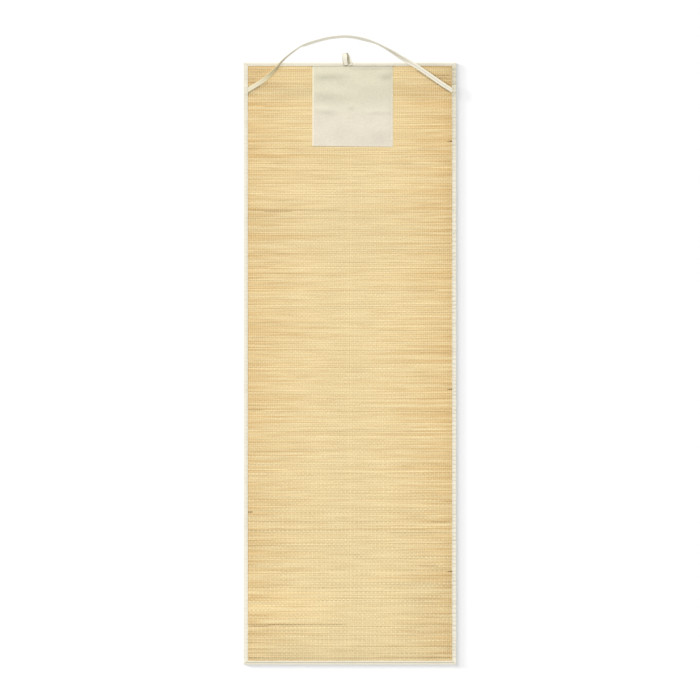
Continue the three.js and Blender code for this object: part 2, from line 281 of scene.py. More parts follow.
class WeaveSettings(bpy.types.PropertyGroup):
    """Sizes and colours of the straw panel and its warps."""

    shot_pitch: size_setting(
        "Shot Pitch", "From one shot of two straws to the next", 6.2 * MM, least=1 * MM)
    warp_pitch: size_setting(
        "Warp Pitch", "From one warp thread to the next", 5.95 * MM, least=1 * MM)
    shot_groove: size_setting(
        "Shot Groove", "Depth of the groove between two shots", 0.8 * MM, least=0)
    straw_groove: size_setting(
        "Straw Groove", "Depth of the groove between the two straws of a shot", 0.4 * MM, least=0)
    straw_wander: size_setting(
        "Straw Wander", "How far a shot strays from its line", 0.45 * MM, least=0)
    warp_width: size_setting("Warp Width", "Width of a warp thread", 0.9 * MM)
    columns: IntProperty(
        name="Columns", description="Steps of the straws across the mat", default=34, min=8)
    seed: IntProperty(name="Seed", description="Choice of straws", default=7)
    pale: colour_setting("Pale Straw", "Colour of the straws in the middle", (0.800, 0.640, 0.345))
    tan: colour_setting("Tan Straw", "Colour of the butt ends at the sides", (0.660, 0.430, 0.165))
    brown: colour_setting("Brown Straw", "Colour of the odd dark straws", (0.300, 0.190, 0.080))
    thread: colour_setting("Warp Thread", "Colour of the cotton warps", (0.790, 0.650, 0.400))


class TapeSettings(bpy.types.PropertyGroup):
    """Sizes and colours of the cotton tape and its stitches."""

    binding_thick: size_setting("Binding Thickness", "Thickness of the binding tape", 0.8 * MM)
    strap_width: size_setting("Strap Width", "Width of the carrying strap", 13 * MM, least=2 * MM)
    strap_thick: size_setting("Strap Thickness", "Thickness of the folded strap", 1.5 * MM)
    loop_width: size_setting("Loop Width", "Width of the fastening loop", 13.8 * MM, least=2 * MM)
    loop_thick: size_setting("Loop Thickness", "Thickness of the fastening loop", 1.2 * MM)
    stitch_pitch: size_setting("Stitch Pitch", "From one stitch to the next", 3.6 * MM, least=1 * MM)
    stitch_width: size_setting("Stitch Width", "Width of the sewing thread", 0.55 * MM)
    cotton: colour_setting("Cotton", "Colour of the tape", (0.775, 0.728, 0.605))
    # The Cotton Shade and Deep Shade colours are those of the tape's painted shade, the first also of its
    # soiling, and the Clean Cotton colour is that of its painted light
    shade: colour_setting(
        "Cotton Shade", "Colour of the tape where it is pressed or soiled", (0.565, 0.525, 0.392))
    deep: colour_setting(
        "Deep Shade", "Colour of the tape in its deepest folds", (0.250, 0.225, 0.130))
    worn: colour_setting(
        "Worn Cotton", "Colour of the tape where handling has yellowed it", (0.840, 0.735, 0.430))
    clean: colour_setting(
        "Clean Cotton", "Colour of the tape where it is clean and bleached", (0.905, 0.875, 0.745))
    thread: colour_setting("Sewing Thread", "Colour of the stitches", (0.730, 0.685, 0.565))


class PatchSettings(bpy.types.PropertyGroup):
    """Sizes and colours of the cloth patch."""

    thick: size_setting("Thickness", "Thickness of the patch's cloth", 0.5 * MM)
    hem: size_setting("Hem", "Width of the turned hem", 6 * MM, least=1 * MM)
    askew: size_setting(
        "Askew", "How much lower the right end of the lower edge lies", 1.8 * MM, least=-10 * MM)
    cloth: colour_setting("Cloth", "Colour of the patch", (0.648, 0.614, 0.464))
    lower_cloth: colour_setting("Faded Cloth", "Colour of the patch's lower part", (0.708, 0.650, 0.532))


class StageSettings(bpy.types.PropertyGroup):
    """Camera, light and floor."""

    view_width: size_setting("View Width", "Width of the picture at the mat", 1.976, least=0.1)
    view_middle: size_setting(
        "View Middle", "Place of the picture's middle along the mat", 38.5 * MM, least=-1)
    lens: FloatProperty(
        name="Lens", description="Focal length in millimetres", default=85, min=10)
    top_light: FloatProperty(
        name="Top Light", description="Strength of the light from the strap's end", default=2.3, min=0)
    fill_light: FloatProperty(
        name="Fill Light", description="Strength of the light all round", default=0.68, min=0)
    floor_light: FloatProperty(
        name="Floor Light", description="Share of the strengths of the floor's own lights",
        default=1.0, min=0)
    floor: colour_setting("Floor", "Colour of the floor", (0.500, 0.500, 0.500))


class Wire:
    """An output socket that adds Math nodes when it is used in arithmetic."""

    def __init__(self, paint, socket):
        self.paint = paint
        self.socket = socket

    def maths(self, operation, *values):
        node = self.paint.add("ShaderNodeMath", {"operation": operation}, dict(enumerate(values)))
        return Wire(self.paint, node.outputs[0])

    def __add__(self, other):
        return self.maths("ADD", self, other)

    def __radd__(self, other):
        return self.maths("ADD", other, self)

    def __sub__(self, other):
        return self.maths("SUBTRACT", self, other)

    def __rsub__(self, other):
        return self.maths("SUBTRACT", other, self)

    def __mul__(self, other):
        return self.maths("MULTIPLY", self, other)

    def __rmul__(self, other):
        return self.maths("MULTIPLY", other, self)

    def __neg__(self):
        return self.maths("MULTIPLY", self, -1)

    def sine(self):
        return self.maths("SINE", self)

    def size(self):
        return self.maths("ABSOLUTE", self)

    def power(self, exponent):
        return self.maths("POWER", self, exponent)

    def limit(self):
        return Wire(self.paint, self.paint.add("ShaderNodeClamp", {}, {"Value": self}).outputs[0])

    def step(self, low, high):
        """Smooth step from 0 at low to 1 at high."""
        node = self.paint.add(
            "ShaderNodeMapRange", {"interpolation_type": "SMOOTHSTEP"},
            {"Value": self, "From Min": low, "From Max": high})
        return Wire(self.paint, node.outputs[0])


class Paint:
    """A material under construction."""

    def __init__(self, name):
        self.material = bpy.data.materials.new(name)
        self.material.use_nodes = True
        self.tree = self.material.node_tree
        self.shader = self.tree.nodes["Principled BSDF"]

    def add(self, kind, settings, inputs):
        """One node of that kind: its settings come first, then the values or links of its sockets."""
        node = self.tree.nodes.new(kind)
        for name, value in settings.items():
            setattr(node, name, value)
        for socket, value in inputs.items():
            self.feed(node.inputs[socket], value)
        return node

    def feed(self, socket, value):
        if isinstance(value, Wire):
            self.tree.links.new(value.socket, socket)
        elif socket.type == "RGBA" and len(value) == 3:
            socket.default_value = (*value, 1)
        else:
            socket.default_value = value

    def wire(self, kind, settings, inputs, output=0):
        return Wire(self, self.add(kind, settings, inputs).outputs[output])

    def attribute(self, name):
        return self.wire("ShaderNodeAttribute", {"attribute_name": name}, {}, "Fac")

    def place(self):
        return self.wire("ShaderNodeTexCoord", {}, {}, "Object")

    def surface(self, name):
        return self.wire("ShaderNodeUVMap", {"uv_map": name}, {})

    def split(self, vector):
        node = self.add("ShaderNodeSeparateXYZ", {}, {0: vector})
        return [Wire(self, output) for output in node.outputs]

    def noise(self, vector, scale, detail):
        """Noise from 0 to 1, with its own scale for each direction."""
        scaled = self.wire("ShaderNodeVectorMath", {"operation": "MULTIPLY"}, {0: vector, 1: scale})
        inputs = {"Vector": scaled, "Scale": 1.0, "Detail": detail, "Roughness": 0.5}
        return self.wire("ShaderNodeTexNoise", {}, inputs, "Fac")

    def mix(self, factor, first, second):
        node = self.add("ShaderNodeMix", {"data_type": "RGBA"}, {0: factor, 6: first, 7: second})
        return Wire(self, node.outputs[2])

    def scale(self, colour, factor):
        return self.wire("ShaderNodeVectorMath", {"operation": "SCALE"}, {0: colour, "Scale": factor})

    def finish(self, colour, roughness, height=None, sheen=0.0, gloss=0.5):
        """Feed the shader. Height is the relief in metres."""
        inputs = self.shader.inputs
        self.feed(inputs["Base Color"], colour)
        self.feed(inputs["Roughness"], roughness)
        inputs["Sheen Weight"].default_value = sheen
        inputs["Specular IOR Level"].default_value = gloss
        if height is not None:
            relief = {"Strength": 1.0, "Distance": 1.0, "Height": height}
            self.feed(inputs["Normal"], self.wire("ShaderNodeBump", {}, relief, "Normal"))
        return self.material


def straw_colour(paint, weave, x, y, tone, side):
    """Pale straws with tan streaks and butt ends, and brown ones among them."""
    butt = paint.attribute("butt")
    streak = paint.noise(paint.place(), (16, 430, 1), 2)
    warmth = butt * 0.8 + (streak - 0.5) * 0.7 - tone * 0.10 + 0.12
    warmth = warmth - 0.10 * (-y).step(0.2, 0.85) + 0.06 * x.step(0.08, 0.28) + 0.07 * y.step(0.45, 0.75)
    colour = paint.mix(warmth.limit(), tuple(weave.pale), tuple(weave.tan))
    brown = (-tone - 1.8 + 0.3 * side) * 0.30
    return paint.mix(brown.limit(), colour, tuple(weave.brown))


def warp_lines(paint, across, lower):
    """Fine lines of light along the warps. Below, each second one shows more than its neighbour."""
    clear = paint.noise(paint.place(), (11, 16, 1), 2)
    even = (across.sine().power(2) - 0.5) * (0.02 + 0.15 * clear) * (1.0 - 0.30 * lower)
    return even + across.sine() * (0.008 + 0.018 * lower)


def middle_line(x):
    """Light along the mat's middle: a dark line between two pale ones, in a strip that is faintly dark."""
    away = (x + 0.0012).size()
    pale = 0.055 * (1.0 - (away - 0.0034).size().step(0.0006, 0.0026))
    dark = 0.055 * (1.0 - away.step(0.0004, 0.0018))
    strip = 0.025 * (1.0 - x.size().step(0.02, 0.11))
    return pale - dark - strip


def broad_shade(x, y, lower):
    """Shade towards the lower end, the right side and the upper right corner, and the bands of straws."""
    shade = 0.07 * (-y).step(0.72, 0.86) + 0.025 * lower + 0.06 * x.step(0.255, 0.290)
    shade = shade + 0.07 * x.step(0.19, 0.25) * y.step(0.785, 0.815)
    for height, half, start, full, amount in STRAW_BANDS:
        band = 1.0 - (y - height).size().step(0.4 * half, 1.4 * half)
        shade = shade - amount * x.step(start, full) * band
    return shade


def painted_strap_shadow(x, y):
    """Painted shadow of the strap on the straws beside its two ends."""
    shade = 0.0
    for middle_x, middle_y, turn, long, distance, wide, amount in STRAP_SHADES:
        cosine, sine = math.cos(math.radians(turn)), math.sin(math.radians(turn))
        along = (x - middle_x) * cosine + (y - middle_y) * sine
        away = (y - middle_y) * cosine - (x - middle_x) * sine - distance
        near = (1.0 - along.size().step(0.8 * long, long)) * (1.0 - away.size().step(0.3 * wide, wide))
        shade = amount * near + shade
    return shade


def straw_finish(weave):
    """Straws with their own tones, painted shade in the grooves between them and in the weave's dimples, the
    lines of the weave, and broad darkening with the strap's painted shadow.
    """
    paint = Paint("woven_straw")
    place = paint.place()
    x, y, _ = paint.split(place)
    side = (x.size() - 0.02).step(0.05, 0.27)
    lower = (-y).step(0.15, 0.45)
    tone = paint.attribute("tone")
    fibre = paint.noise(place, (45, 2600, 1), 3)
    patchy = paint.noise(place, (9, 60, 1), 2)
    mottle = paint.noise(place, (260, 330, 1), 1)

    _, shot_pitch, _, warp_pitch = weave_layout(weave)
    across = (x - LEFT_INNER - warp_drift(x, y)) * (math.pi / warp_pitch)
    along = (PANEL_HIGH[1] - y) * (math.pi / shot_pitch)
    dimple = across.sine() * along.sine()
    dash = (across.sine() * (along + math.pi / 2).sine()).step(-0.3, 0.5)

    # Painted shade in the dimples where the warps press the straws down, patchy and stronger at the sides
    pressed = dimple.step(0.25, 0.95) * (0.04 + 0.18 * (0.35 + side) * patchy.step(0.35, 0.65))
    dashes = dash * patchy.step(0.3, 0.6) * (0.14 + 0.20 * lower)
    light = 1.0 + tone * (0.025 + 0.012 * side) + (fibre - 0.5) * 0.16 + (mottle - 0.5) * 0.44
    light = light - pressed * (0.35 + 0.65 * lower)
    # Painted shade in the grooves between shots and straws, with darker dashes
    light = light - paint.attribute("groove") * (0.23 - 0.04 * lower + dashes)
    light = light + warp_lines(paint, across, lower) + middle_line(x)
    # Broad darkening, and the strap's shadow painted on the straws beside it
    light = light - broad_shade(x, y, lower) - painted_strap_shadow(x, y)

    colour = paint.scale(straw_colour(paint, weave, x, y, tone, side), light)
    height = dimple * -0.00013 + fibre * 0.00008
    return paint.finish(colour, 0.52 + fibre * 0.25, height, gloss=0.35)


def thread_finish(name, colour):
    """Twisted cotton thread."""
    paint = Paint(name)
    place = paint.place()
    twist = paint.noise(place, (900, 1600, 900), 1)
    tint = paint.scale(tuple(colour), 0.88 + twist * 0.24)
    return paint.finish(tint, 0.85, twist * 0.00008, sheen=0.2, gloss=0.2)


def tape_finish(tape):
    """Cream cotton tape: a plain weave, soft blotches of soiling, and the painted shade and painted light of
    its attribute.
    """
    paint = Paint("sewn_cotton")
    u, v, _ = paint.split(paint.surface("cloth"))
    place = paint.place()
    thread = math.pi / (0.45 * MM)
    weave = (u * thread).sine() * (v * thread).sine()
    blotch = paint.noise(place, (38, 38, 38), 3)
    pressed = paint.attribute("pressed")
    # Above zero the attribute is painted shade, darkest past one, below zero painted light; the blotches are
    # soiling
    soil_and_shade = (blotch.step(0.45, 0.75) * 0.16 + pressed * 0.75).limit()
    colour = paint.mix(paint.attribute("worn"), tuple(tape.cotton), tuple(tape.worn))
    colour = paint.mix((-pressed).limit(), colour, tuple(tape.clean))
    colour = paint.mix(soil_and_shade, colour, tuple(tape.shade))
    colour = paint.mix(((pressed - 1.0) * 0.6).limit(), colour, tuple(tape.deep))
    colour = paint.scale(colour, 1.0 + weave * 0.03)
    return paint.finish(colour, 0.86 + blotch * 0.08, weave * 0.00004, sheen=0.25, gloss=0.2)


def patch_finish(patch):
    """Pale canvas, a little lighter towards its lower edge, with painted shade and painted light."""
    paint = Paint("patch_canvas")
    u, v, _ = paint.split(paint.surface("cloth"))
    place = paint.place()
    thread = math.pi / (0.55 * MM)
    weave = (u * thread).sine() * (v * thread).sine()
    slub = paint.noise(place, (60, 700, 1), 2)
    blotch = paint.noise(place, (22, 30, 1), 3)
    mottle = paint.noise(place, (130, 190, 1), 2)
    pressed = paint.attribute("pressed")
    _, y, _ = paint.split(place)
    upper = (y + (blotch - 0.5) * 0.06).step(0.66, 0.80)
    colour = paint.mix(upper, tuple(patch.lower_cloth), tuple(patch.cloth))
    # Less the painted shade, and plus the painted light, of the attribute
    light = 1.0 + weave * 0.03 + (slub - 0.5) * 0.05 + (blotch - 0.5) * 0.16 - pressed * 0.22
    light = light + (mottle - 0.5) * 0.20
    colour = paint.scale(colour, light)
    return paint.finish(colour, 0.90, weave * 0.00005 + slub * 0.00008, sheen=0.25, gloss=0.2)


def floor_finish(stage):
    """Smooth pale floor with a faint unevenness."""
    paint = Paint("pale_floor")
    cloud = paint.noise(paint.place(), (1.5, 1.5, 1.5), 1)
    colour = paint.scale(tuple(stage.floor), 0.995 + cloud * 0.01)
    return paint.finish(colour, 0.9, gloss=0.1)


def smooth(value, low, high):
    """Smooth step from 0 at low to 1 at high."""
    share = np.clip((value - low) / (high - low), 0, 1)
    return share * share * (3 - 2 * share)


def weave_layout(weave):
    """Number and pitch of the shots along the panel, and of the warps across it."""
    length = PANEL_HIGH[1] - PANEL_LOW[1]
    width = RIGHT_INNER - LEFT_INNER
    shots = round(length / weave.shot_pitch)
    warps = round(width / weave.warp_pitch)
    return shots, length / shots, warps, width / warps


def warp_drift(x, y):
    """How far the warps stray sideways at a place on the mat. It serves arrays and wires."""
    drift = 0.0
    for across, along, phase, reach in WARP_WAVES:
        turn = x * (2 * math.pi * across) + y * (2 * math.pi * along) + phase
        wave = turn.sine() if isinstance(turn, Wire) else np.sin(turn)
        drift = wave * reach + drift
    return drift


def piece_from_arrays(name, points, faces, material):
    """A mesh piece of the mat, at the origin, riding on its body."""
    mesh = bpy.data.meshes.new(name)
    mesh.from_pydata(np.asarray(points).tolist(), [], faces)
    mesh.shade_smooth()
    mesh.update()
    piece = bpy.data.objects.new(name, mesh)
    bpy.context.scene.collection.objects.link(piece)
    mesh.materials.append(material)
    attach(piece, BODY)
    return piece


def store(piece, name, values):
    """Keep one number for each point of the piece's mesh, for its material."""
    attribute = piece.data.attributes.new(name, "FLOAT", "POINT")
    attribute.data.foreach_set("value", np.asarray(values, dtype=np.float32).ravel())


def grid_faces(rows, columns, first=0, flipped=False):
    """Quads of a grid of points that is stored row by row."""
    corner = first + (np.arange(rows - 1)[:, None] * columns + np.arange(columns - 1)[None, :]).ravel()
    quads = np.stack([corner, corner + 1, corner + columns + 1, corner + columns], axis=1)
    return (quads[:, ::-1] if flipped else quads).tolist()


def contrast(tones):
    """Neighbouring straws made to differ more than chance would have it."""
    return 1.1 * (tones - 0.33 * (np.roll(tones, 1, axis=0) + np.roll(tones, -1, axis=0)))


def straw_rows(rng, straws, x):
    """Tone and butt shade of every straw at every column. In each row two straws meet, one from
    either side, with the butt ends at the sides."""
    overlap = 10 * MM
    meet = rng.uniform(-0.24, 0.24, (straws, 1))
    share = smooth(x, meet - overlap, meet + overlap)
    first, second = (contrast(rng.normal(0, 1, (straws, 1))) for _ in range(2))
    tone = first * (1 - share) + second * share
    left_reach, right_reach = (rng.uniform(0.03, 0.36, (straws, 1)) for _ in range(2))
    left, right = (rng.uniform(0.1, 1.0, (straws, 1)) for _ in range(2))
    butt = left * np.clip(1 - (x - LEFT_INNER) / left_reach, 0, 1)
    butt += right * np.clip(1 - (RIGHT_INNER - x) / right_reach, 0, 1)
    for wave_length in (0.42, 0.19, 0.11):
        phase = rng.uniform(0, 2 * math.pi, (straws, 1))
        length = wave_length * rng.uniform(0.8, 1.25, (straws, 1))
        tone = tone + 0.70 * np.sin(2 * math.pi * x / length + phase)
    spread, darkest = 0.72, -1.9
    return np.maximum(spread * tone, darkest), butt


def set_odd_straws(tone, x, pitch):
    """Give the straws that stand out their own tone. Each shot has two straws."""
    soft = 4 * MM
    for height, start, end, own in ODD_STRAWS:
        row = int(2 * (PANEL_HIGH[1] - height) / pitch)
        inside = smooth(x, start - soft, start + soft) * (1 - smooth(x, end - soft, end + soft))
        tone[row] = tone[row] * (1 - inside) + own * inside


def wander(rng, rows, x, amount):
    """Slow drift of each row along its length."""
    drift = np.zeros((rows, len(x)))
    for wave_length, share in ((0.75, 0.6), (0.31, 0.3), (0.13, 0.1)):
        phase = rng.uniform(0, 2 * math.pi, (rows, 1))
        drift += share * amount * np.sin(2 * math.pi * x / wave_length + phase)
    return drift


def gap_shades(rng, shots, pitch, x):
    """Painted shade in the gap before each shot, at every column."""
    soft, fade = 4 * MM, 30 * MM
    gaps = np.clip(0.50 + 0.34 * rng.normal(0, 1, (shots, 1)) + wander(rng, shots, x, 0.6), 0.05, 1.5)
    for height, start, end, darkness in ODD_GAPS:
        row = round((PANEL_HIGH[1] - height) / pitch)
        inside = smooth(x, start - soft, start + soft) * (1 - smooth(x, end - fade, end))
        gaps[row] += darkness * inside
    return gaps


class MAT_OT_weave_panel(bpy.types.Operator):
    """Weave the straw panel, its upper and lower face with two straws in each shot"""

    bl_idname = "beach_mat.weave_panel"
    bl_label = "Weave Straw Panel"

    def execute(self, context):
        weave = context.scene.mat_weave
        rng = np.random.default_rng(weave.seed)
        shots, pitch, _, _ = weave_layout(weave)
        x = np.concatenate([
            [PANEL_LOW[0], LEFT_INNER + 0.5 * RIM],
            np.linspace(LEFT_INNER + 2 * RIM, RIGHT_INNER - 2 * RIM, weave.columns + 1),
            [RIGHT_INNER - 0.5 * RIM, PANEL_HIGH[0]]])
        tone, butt = straw_rows(rng, 2 * shots, x)
        set_odd_straws(tone, x, pitch)
        upper, upper_straw, upper_groove = self.upper_face(rng, weave, shots, pitch, x)
        lower, lower_straw, lower_groove = self.lower_face(shots, pitch, x)

        points = np.concatenate([upper, lower]).reshape(-1, 3)
        faces = self.closed_faces(len(upper), len(lower), len(x))
        panel = piece_from_arrays("woven_panel", points, faces, straw_finish(weave))
        straw = np.concatenate([upper_straw, lower_straw])
        store(panel, "tone", tone[straw])
        store(panel, "butt", butt[straw])
        store(panel, "groove", np.concatenate([upper_groove, lower_groove]))
        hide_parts("straw_panel")
        return {"FINISHED"}

    def upper_face(self, rng, weave, shots, pitch, x):
        """Points of the upper face, the straw of each row of points, and the painted shade in the grooves."""
        # Section of a shot: share of the pitch, depth below the crown, straw, and painted shade in the groove
        section = (
            (0.00, weave.shot_groove, 0, 1.0),
            (0.12, 0.20 * weave.shot_groove, 0, 0.25),
            (0.28, 0.0, 0, 0.0),
            (0.50, weave.straw_groove, 1, 0.45),
            (0.72, 0.0, 1, 0.0),
            (0.88, 0.20 * weave.shot_groove, 1, 0.25),
        )
        share, depth, straw, dark = (np.array(column) for column in zip(*section))
        deepest, sway, side_groove = 0.28 * MM, 0.10 * MM, 0.6
        drift = wander(rng, shots, x, weave.straw_wander)
        sink = rng.uniform(0, deepest, (2 * shots, 1)) + np.abs(wander(rng, 2 * shots, x, sway))
        gaps = gap_shades(rng, shots, pitch, x)

        line, step = np.divmod(np.arange(shots * len(section) + 1), len(section))
        shot = np.minimum(line, shots - 1)
        own = 2 * shot + straw[step]
        row_drift = drift[shot]
        groove_rows = (step == 0) & (line > 0) & (line < shots)
        row_drift[groove_rows] = 0.5 * (drift[1:] + drift[:-1])
        row_drift[[0, -1]] = 0
        y = PANEL_HIGH[1] - (line + share[step])[:, None] * pitch + row_drift
        z = PANEL_TOP - depth[step][:, None] - sink[own]
        darkness = dark[step][:, None] * np.where((step == 0)[:, None], gaps[shot], side_groove)
        return np.stack([np.broadcast_to(x, y.shape), y, z], axis=2), own, darkness

    def lower_face(self, shots, pitch, x):
        """The same of the lower face: a groove and two crowns to a shot, raised over the binding's tape."""
        # Section of a shot: share of the pitch, height over the crowns, straw, and painted shade in the
        # groove
        section = ((0.0, 0.55 * MM, 0, 1.0), (0.30, 0.0, 0, 0.0), (0.70, 0.0, 1, 0.0))
        share, height, straw, dark = (np.array(column) for column in zip(*section))
        over_tape = PANEL_LOW[2] + 1.35 * MM
        line, step = np.divmod(np.arange(shots * len(section) + 1), len(section))
        own = np.minimum(2 * line + straw[step], 2 * shots - 1)
        y = PANEL_HIGH[1] - (line + share[step])[:, None] * pitch + 0 * x
        z = PANEL_LOW[2] + height[step][:, None] + 0 * x
        at_binding = (x < LEFT_INNER + RIM) | (x > RIGHT_INNER - RIM)
        at_binding = at_binding | (y > TOP_INNER - 2 * RIM) | (y < BOTTOM_INNER + 2 * RIM)
        z = np.where(at_binding, np.maximum(z, over_tape), z)
        darkness = dark[step][:, None] + 0 * x
        return np.stack([np.broadcast_to(x, y.shape), y, z], axis=2), own, darkness

    def closed_faces(self, upper, lower, columns):
        """Faces of both sides and of the rim, for those numbers of rows and columns of points."""
        first = upper * columns
        faces = grid_faces(upper, columns, flipped=True) + grid_faces(lower, columns, first)
        ratio = (upper - 1) // (lower - 1)
        for row in range(lower - 1):
            for column, flipped in ((0, False), (columns - 1, True)):
                ring = [(ratio * row + step) * columns + column for step in range(ratio + 1)]
                ring += [first + (row + 1) * columns + column, first + row * columns + column]
                faces.append(ring[::-1] if flipped else ring)
        for column in range(columns - 1):
            upper_end = (upper - 1) * columns + column
            lower_end = first + (lower - 1) * columns + column
            faces.append([column + 1, column, first + column, first + column + 1])
            faces.append([upper_end, upper_end + 1, lower_end + 1, lower_end])
        return faces


class MAT_OT_lay_warps(bpy.types.Operator):
    """Lay the warp threads over every second shot, on both faces of the panel"""

    bl_idname = "beach_mat.lay_warps"
    bl_label = "Lay Warp Threads"

    def execute(self, context):
        weave = context.scene.mat_weave
        finish = thread_finish("warp_thread", weave.thread)
        for name, side in (("warps_upper", 1), ("warps_under", -1)):
            points, faces = self.thread_face(weave, side)
            piece_from_arrays(name, points, faces, finish)
        return {"FINISHED"}

    def thread_face(self, weave, side):
        """Short arcs of thread, three points wide, each over one shot of one face."""
        shots, pitch, warps, warp_pitch = weave_layout(weave)
        rng = np.random.default_rng(weave.seed + side)
        warp, shot = np.meshgrid(np.arange(warps), np.arange(shots), indexing="ij")
        over = (warp + shot) % 2 == (0 if side > 0 else 1)
        stray = 0.12 * MM
        x = LEFT_INNER + (warp[over] + 0.5) * warp_pitch + rng.normal(0, stray, over.sum())
        y = PANEL_HIGH[1] - (shot[over] + 0.5) * pitch
        x = x + warp_drift(x, y)
        if side > 0:
            base, rise = PANEL_TOP - 0.45 * MM, 0.75 * MM
        else:
            base, rise = PANEL_LOW[2] + 0.55 * MM, -0.50 * MM
        # One arc: shares of the pitch and the rise along it, then of the width and the rise across it
        along, arch = np.array([0.5, 0.2, -0.2, -0.5]), np.array([-0.1, 0.75, 0.75, -0.1])
        across, ridge = np.array([-0.5, 0.0, 0.5]), np.array([0.0, 0.25, 0.0])
        points = np.empty((len(x), len(along), len(across), 3))
        points[..., 0] = x[:, None, None] + weave.warp_width * across
        points[..., 1] = y[:, None, None] + pitch * along[:, None]
        points[..., 2] = base + rise * (arch[:, None] + ridge)
        arc = np.array(grid_faces(len(along), len(across), flipped=side > 0))
        faces = arc + len(along) * len(across) * np.arange(len(x))[:, None, None]
        return points.reshape(-1, 3), faces.reshape(-1, 4).tolist()


def grid_sheet(name, across, along, material):
    """A flat grid of cloth with shares from 0 to 1 along and across it. The caller bends it."""
    bpy.ops.object.select_all(action="DESELECT")
    bpy.ops.mesh.primitive_grid_add(x_subdivisions=along, y_subdivisions=across, size=1)
    sheet = bpy.context.object
    sheet.name = name
    sheet.data.name = name
    sheet.data.materials.append(material)
    flat = np.empty(3 * len(sheet.data.vertices))
    sheet.data.vertices.foreach_get("co", flat)
    shares = flat.reshape(-1, 3)[:, :2] + 0.5
    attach(sheet, BODY)
    return sheet, shares[:, 0], shares[:, 1]


def bend_sheet(sheet, points, u, v, pressed, thick, reverse=None, worn=None):
    """Move the sheet's points into place, keep its cloth directions in metres, and give it thickness.
    Its reverse side takes the same painted shading, or one plain amount of painted shade."""
    mesh = sheet.data
    mesh.vertices.foreach_set("co", np.ascontiguousarray(points, dtype=np.float64).ravel())
    corner = np.empty(len(mesh.loops), dtype=np.int64)
    mesh.loops.foreach_get("vertex_index", corner)
    while mesh.uv_layers:
        mesh.uv_layers.remove(mesh.uv_layers[0])
    cloth = mesh.uv_layers.new(name="cloth")
    cloth.data.foreach_set("uv", np.stack([u[corner], v[corner]], axis=1).astype(np.float32).ravel())
    # The painted shade and painted light of each point
    store(sheet, "pressed", pressed)
    if worn is not None:
        store(sheet, "worn", worn)
    mesh.update()
    bpy.ops.object.select_all(action="DESELECT")
    bpy.context.view_layer.objects.active = sheet
    sheet.select_set(True)
    solidify = sheet.modifiers.new("thickness", "SOLIDIFY")
    solidify.thickness = thick
    solidify.offset = 0
    bpy.ops.object.modifier_apply(modifier=solidify.name)
    mesh.shade_smooth()
    if reverse is not None:
        shades = np.full(len(mesh.vertices), reverse, dtype=np.float32)
        shades[:len(pressed)] = pressed
        mesh.attributes["pressed"].data.foreach_set("value", shades)


def stitches(name, centres, headings, ups, length, width, material):
    """A run of stitches, each a small closed ridge of thread."""
    sides = np.cross(ups, headings)
    # Shares of the length, width and height of one stitch, corner by corner
    corners = (
        (-0.5, -0.5, -0.3), (0.5, -0.5, -0.3), (0.5, 0.5, -0.3), (-0.5, 0.5, -0.3),
        (-0.36, 0.0, 0.5), (0.36, 0.0, 0.5),
    )
    points = np.stack([
        centres + length * long * headings + width * wide * sides + width * high * ups
        for long, wide, high in corners], axis=1)
    one = ((0, 1, 5, 4), (2, 3, 4, 5), (1, 2, 5), (3, 0, 4), (3, 2, 1, 0))
    faces = [[len(corners) * k + corner for corner in face] for k in range(len(centres)) for face in one]
    return piece_from_arrays(name, points.reshape(-1, 3), faces, material)


@dataclass
class BindingStrip:
    """One strip of folded tape. It runs along its edge from its first corner to its second, and its
    depth is measured inwards from that edge."""

    edge: str
    turn: float  # heading of the strip in degrees
    span: float
    reach: float  # from the mat's origin to the edge
    width: float
    before: float  # width of the strip at the first corner
    after: float  # width of the strip at the second corner
    lifts: tuple = ()  # start, end and height of what is sewn in under it

    def seam(self):
        """Depth of the line of stitches."""
        return BINDING_SEWING[self.edge][0] * self.width

    def lift(self, s):
        """Rise of the upper leg over what is sewn in under it."""
        ramp = 9 * MM
        rise = np.zeros_like(s)
        for start, end, height in self.lifts:
            inside = smooth(s, start - ramp, start) * (1 - smooth(s, end, end + ramp))
            rise = np.maximum(rise, height * inside)
        return rise

    def painted_mark_shading(self, s, depth):
        """Painted shade and painted light on the tape from its marks."""
        shade = np.zeros_like(s)
        for at, reach, start, full, amount in BINDING_MARKS[self.edge]:
            shade += amount * np.exp(-((s - at) / reach) ** 4) * smooth(depth, start, full)
        return shade

    def along(self, share, depth):
        """Distance along the strip, with the ends cut to the mitres."""
        cut = 0.04 * MM
        start = -self.span / 2 + cut + depth * self.before / self.width
        end = self.span / 2 - cut - depth * self.after / self.width
        return start + share * (end - start)

    def heading(self):
        angle = math.radians(self.turn)
        return np.array([math.cos(angle), math.sin(angle), 0.0])

    def world(self, s, depth, z):
        """Points on the mat for distances along the strip, depths and heights."""
        cosine, sine, _ = self.heading()
        y = self.reach - depth
        return np.stack([s * cosine - y * sine, s * sine + y * cosine, z], axis=-1)


